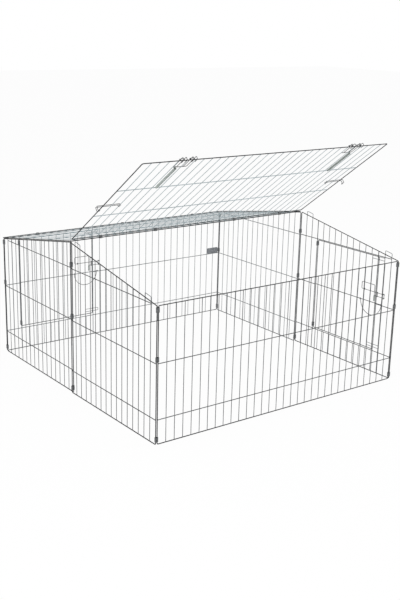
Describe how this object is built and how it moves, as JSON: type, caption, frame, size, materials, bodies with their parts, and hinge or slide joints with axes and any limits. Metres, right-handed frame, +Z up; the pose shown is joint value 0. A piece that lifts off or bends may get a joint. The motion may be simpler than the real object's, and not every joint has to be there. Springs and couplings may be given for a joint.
{
  "type": "folding wire rabbit run",
  "caption": "Square floorless pet run of hinged welded wire panels with a low gable roof, a lifting lid with sprung latches and two bolted doors.",
  "frame": {"origin": "middle of the footprint's outline, on the ground", "axes": "+Z up, +X along the front to the right as seen from the front, +Y to the back"},
  "size_m": [1.1984, 1.1754, 0.969],
  "materials": {
    "galvanised_wire": "galvanised",
    "bright_wire": "zinc plated",
    "clip_metal": "dull zinc",
    "spring_steel": "zinc plated spring steel",
    "sheet": "galvanised sheet"
  },
  "bodies": {
    "back_wall": {"back_panel": "galvanised_wire", "blank_plate": "sheet", "back_door_hinge_low": "clip_metal", "back_door_hinge_high": "clip_metal", "hinge_clip_rear_left_low": "clip_metal", "hinge_clip_rear_left_middle": "clip_metal", "hinge_clip_rear_left_high": "clip_metal", "hinge_clip_rear_right_low": "clip_metal", "hinge_clip_rear_right_middle": "clip_metal", "hinge_clip_rear_right_high": "clip_metal"},
    "left_rear": {"left_rear_gable": "galvanised_wire", "hinge_clip_ridge_left_low": "clip_metal", "hinge_clip_ridge_left_middle": "clip_metal", "hinge_clip_ridge_left_high": "clip_metal"},
    "left_front": {"left_front_gable": "galvanised_wire", "hinge_clip_front_left_low": "clip_metal", "hinge_clip_front_left_middle": "clip_metal", "hinge_clip_front_left_high": "clip_metal"},
    "front_wall": {"front_panel": "galvanised_wire"},
    "right_rear": {"right_rear_gable": "galvanised_wire", "hinge_clip_ridge_right_low": "clip_metal", "hinge_clip_ridge_right_middle": "clip_metal", "hinge_clip_ridge_right_high": "clip_metal"},
    "right_front": {"right_front_gable": "galvanised_wire", "side_door_hinge_low": "clip_metal", "side_door_hinge_high": "clip_metal", "hinge_clip_front_right_low": "clip_metal", "hinge_clip_front_right_middle": "clip_metal", "hinge_clip_front_right_high": "clip_metal"},
    "back_door_leaf": {"back_door": "galvanised_wire"},
    "side_door_leaf": {"side_door": "galvanised_wire"},
    "back_bolt": {"back_door_bolt": "bright_wire"},
    "side_bolt": {"side_door_bolt": "bright_wire"},
    "back_bail": {"back_door_bail": "bright_wire"},
    "side_bail": {"side_door_bail": "bright_wire"},
    "eave_clips": {"eave_clip_1": "clip_metal", "eave_clip_2": "clip_metal", "eave_clip_3": "clip_metal"},
    "roof": {"roof_panel": "galvanised_wire", "ridge_clip_1": "clip_metal", "ridge_clip_2": "clip_metal", "ridge_clip_3": "clip_metal", "ridge_clip_4": "clip_metal"},
    "lid": {"lid_panel": "galvanised_wire", "lid_spring_left": "spring_steel", "lid_spring_right": "spring_steel"},
    "left_latch": {"lid_latch_left": "bright_wire"},
    "right_latch": {"lid_latch_right": "bright_wire"},
    "left_hook": {"side_hook_left": "bright_wire"},
    "right_hook": {"side_hook_right": "bright_wire"}
  },
  "joints": [
    {"name": "run_fold", "type": "hinge", "parent": "back_wall", "child": "left_rear", "pos_m": [-0.576, 0.56864, 0.25], "axis": [0, 0, -1], "range_deg": [-80, 0]},
    {"name": "left_front_fold", "type": "hinge", "parent": "left_rear", "child": "left_front", "pos_m": [-0.582, -0.00736, 0.25], "axis": [0, 0, -1], "range_deg": [0, 160]},
    {"name": "front_fold", "type": "hinge", "parent": "left_front", "child": "front_wall", "pos_m": [-0.576, -0.58335, 0.25], "axis": [0, 0, -1], "range_deg": [-80, 0]},
    {"name": "right_rear_fold", "type": "hinge", "parent": "back_wall", "child": "right_rear", "pos_m": [0.576, 0.56864, 0.25], "axis": [0, 0, 1], "range_deg": [-80, 0]},
    {"name": "right_front_fold", "type": "hinge", "parent": "right_rear", "child": "right_front", "pos_m": [0.582, -0.00736, 0.25], "axis": [0, 0, 1], "range_deg": [0, 160]},
    {"name": "eave_clip_turn", "type": "hinge", "parent": "back_wall", "child": "eave_clips", "pos_m": [0, 0.57464, 0.5], "axis": [-1, 0, 0], "range_deg": [0, 40]},
    {"name": "roof_lift", "type": "hinge", "parent": "eave_clips", "child": "roof", "pos_m": [0, 0.58005, 0.50309], "axis": [-1, 0, 0], "range_deg": [0, 95]},
    {"name": "lid_swing", "type": "hinge", "parent": "roof", "child": "lid", "pos_m": [0, -0.00736, 0.61002], "axis": [-1, 0, 0], "range_deg": [-46.36, 114]},
    {"name": "back_door_swing", "type": "hinge", "parent": "back_wall", "child": "back_door_leaf", "pos_m": [-0.504, 0.58064, 0.3], "axis": [0, 0, 1], "range_deg": [0, 110]},
    {"name": "side_door_swing", "type": "hinge", "parent": "right_front", "child": "side_door_leaf", "pos_m": [0.588, -0.11535, 0.3], "axis": [0, 0, 1], "range_deg": [0, 110]},
    {"name": "back_bolt_slide", "type": "slide", "parent": "back_door_leaf", "child": "back_bolt", "axis": [-1, 0, 0], "range_m": [0, 0.03]},
    {"name": "side_bolt_slide", "type": "slide", "parent": "side_door_leaf", "child": "side_bolt", "axis": [0, 1, 0], "range_m": [0, 0.03]},
    {"name": "back_bail_swing", "type": "hinge", "parent": "back_door_leaf", "child": "back_bail", "pos_m": [-0.144, 0.58064, 0.296], "axis": [1, 0, 0], "range_deg": [0, 95]},
    {"name": "side_bail_swing", "type": "hinge", "parent": "side_door_leaf", "child": "side_bail", "pos_m": [0.588, -0.47536, 0.296], "axis": [0, -1, 0], "range_deg": [0, 95]},
    {"name": "left_latch_pull", "type": "slide", "parent": "lid", "child": "left_latch", "axis": [0, -0.809, 0.5878], "range_m": [0, 0.01], "stiffness_N_per_m": 400, "deforming": ["lid_spring_left"]},
    {"name": "right_latch_pull", "type": "slide", "parent": "lid", "child": "right_latch", "axis": [0, -0.809, 0.5878], "range_m": [0, 0.01], "stiffness_N_per_m": 400, "deforming": ["lid_spring_right"]},
    {"name": "left_hook_swing", "type": "hinge", "parent": "lid", "child": "left_hook", "pos_m": [-0.504, -0.22579, 0.76872], "axis": [0, 0.809, -0.5878], "range_deg": [0, 100]},
    {"name": "right_hook_swing", "type": "hinge", "parent": "lid", "child": "right_hook", "pos_m": [0.504, -0.22579, 0.76872], "axis": [0, -0.809, 0.5878], "range_deg": [0, 100]}
  ],
  "couplings": [
    {"joint": "left_front_fold", "follows": "run_fold", "ratio": -2},
    {"joint": "front_fold", "follows": "run_fold", "ratio": 1},
    {"joint": "right_rear_fold", "follows": "run_fold", "ratio": 1},
    {"joint": "right_front_fold", "follows": "run_fold", "ratio": -2},
    {"joint": "eave_clip_turn", "follows": "run_fold", "ratio": -0.5}
  ]
}
